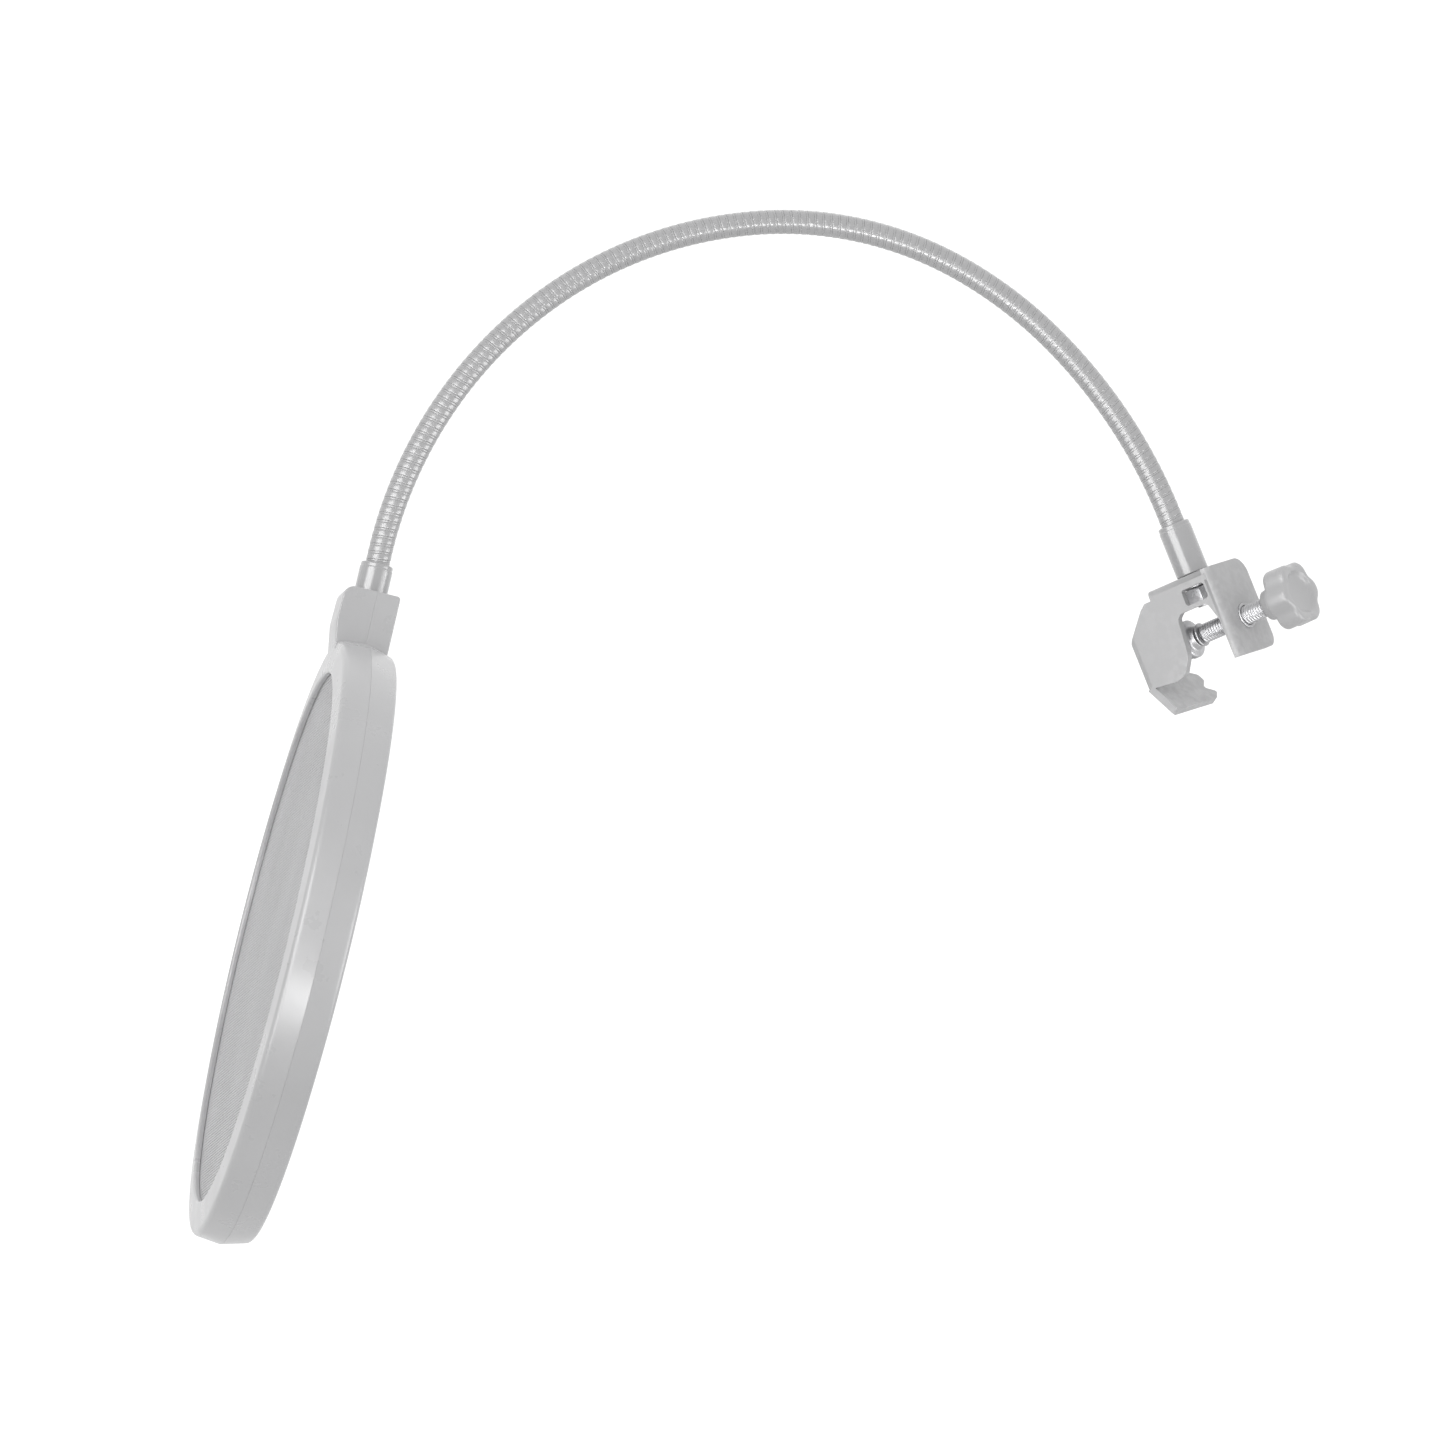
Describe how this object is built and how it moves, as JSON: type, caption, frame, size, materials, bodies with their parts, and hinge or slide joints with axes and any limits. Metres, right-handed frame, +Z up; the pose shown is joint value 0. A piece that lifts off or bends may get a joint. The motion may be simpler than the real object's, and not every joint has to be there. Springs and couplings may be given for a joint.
{
  "type": "pop filter",
  "caption": "Round twin-screen microphone pop filter on a flexible gooseneck with a small screw clamp that grips a stand or boom arm.",
  "frame": {"origin": "centre of the fixed jaw's flat face, where the clamp screw's axis meets it", "axes": "+X from the hoop towards the clamp, along the longest extent; +Z up; +Y away from the web side of the clamp, across the hoop; the gooseneck lies in a plane parallel to XZ"},
  "size_m": [0.2861, 0.1568, 0.2658],
  "materials": {
    "hoop_plastic": "satin moulded plastic, soft gloss",
    "knob_plastic": "fine textured moulded plastic",
    "neck_metal": "satin coated spiral-wound wire",
    "ferrule_paint": "gloss coated turned sleeve",
    "clamp_paint": "powder coated sheet steel",
    "zinc": "zinc plated",
    "nut_zinc": "bright zinc plated",
    "brass": "turned brass",
    "nylon": "fine knitted nylon mesh",
    "rubber": "moulded rubber"
  },
  "bodies": {
    "clamp": {"clamp_bracket": "clamp_paint", "jaw_bush": "zinc", "clamp_ferrule": "ferrule_paint", "clamp_stud": "zinc", "neck_lock_washer": "zinc", "neck_nut": "nut_zinc", "neck_link_01": "neck_metal"},
    "neck_02": {"neck_link_02": "neck_metal"},
    "neck_03": {"neck_link_03": "neck_metal"},
    "neck_04": {"neck_link_04": "neck_metal"},
    "neck_05": {"neck_link_05": "neck_metal"},
    "neck_06": {"neck_link_06": "neck_metal"},
    "neck_07": {"neck_link_07": "neck_metal"},
    "neck_08": {"neck_link_08": "neck_metal"},
    "neck_09": {"neck_link_09": "neck_metal"},
    "hoop": {"neck_link_10": "neck_metal", "hoop_ferrule": "ferrule_paint", "hoop_stud": "zinc", "boss_insert": "brass", "hoop_front_shell": "hoop_plastic", "hoop_rear_shell": "hoop_plastic", "screen_spacer": "hoop_plastic", "front_screen": "nylon", "rear_screen": "nylon", "boss_screw_left": "zinc", "boss_screw_right": "zinc"},
    "screw_end": {"foot_clip": "zinc"},
    "screw": {"clamp_screw": "zinc", "clamp_knob": "knob_plastic"},
    "foot": {"foot_cup": "zinc", "foot_pad": "rubber"}
  },
  "joints": [
    {"name": "neck_sway_1", "type": "hinge", "parent": "clamp", "child": "neck_02", "pos_m": [-0.01155, -0.01183, 0.05853], "axis": [0.829, 0, 0.5592], "range_deg": [-14, 14]},
    {"name": "neck_bend_1", "type": "hinge", "parent": "neck_02", "child": "neck_03", "pos_m": [-0.02926, -0.01183, 0.07964], "axis": [0, -1, 0], "range_deg": [-14, 14]},
    {"name": "neck_bend_2", "type": "hinge", "parent": "neck_03", "child": "neck_04", "pos_m": [-0.05133, -0.01183, 0.09609], "axis": [0, -1, 0], "range_deg": [-14, 14]},
    {"name": "neck_sway_2", "type": "hinge", "parent": "neck_04", "child": "neck_05", "pos_m": [-0.07704, -0.01183, 0.10585], "axis": [-0.2113, 0, -0.9774], "range_deg": [-14, 14]},
    {"name": "neck_bend_3", "type": "hinge", "parent": "neck_05", "child": "neck_06", "pos_m": [-0.10448, -0.01183, 0.10758], "axis": [0, -1, 0], "range_deg": [-14, 14]},
    {"name": "neck_bend_4", "type": "hinge", "parent": "neck_06", "child": "neck_07", "pos_m": [-0.13135, -0.01183, 0.10164], "axis": [0, 1, 0], "range_deg": [-14, 14]},
    {"name": "neck_sway_3", "type": "hinge", "parent": "neck_07", "child": "neck_08", "pos_m": [-0.15579, -0.01183, 0.08898], "axis": [-0.5713, 0, 0.8208], "range_deg": [-14, 14]},
    {"name": "neck_bend_5", "type": "hinge", "parent": "neck_08", "child": "neck_09", "pos_m": [-0.17624, -0.01183, 0.07055], "axis": [0, 1, 0], "range_deg": [-14, 14]},
    {"name": "neck_bend_6", "type": "hinge", "parent": "neck_09", "child": "hoop", "pos_m": [-0.19157, -0.01183, 0.04768], "axis": [0, 1, 0], "range_deg": [-14, 14]},
    {"name": "screw_travel", "type": "slide", "parent": "clamp", "child": "screw_end", "axis": [0.7103, -0.6428, 0.287], "range_m": [-0.0064, 0.008]},
    {"name": "screw_turn", "type": "hinge", "parent": "screw_end", "child": "screw", "pos_m": [0.01421, -0.01286, 0.00574], "axis": [0.7103, -0.6428, 0.287], "range_deg": [-2881, 3601]},
    {"name": "foot_swivel", "type": "hinge", "parent": "screw_end", "child": "foot", "pos_m": [0.00881, -0.00797, 0.00356], "axis": [-0.3746, 0, 0.9272], "range_deg": [-4, 4]}
  ],
  "couplings": [
    {"joint": "screw_turn", "follows": "screw_travel", "rad_per_m": 7854}
  ]
}
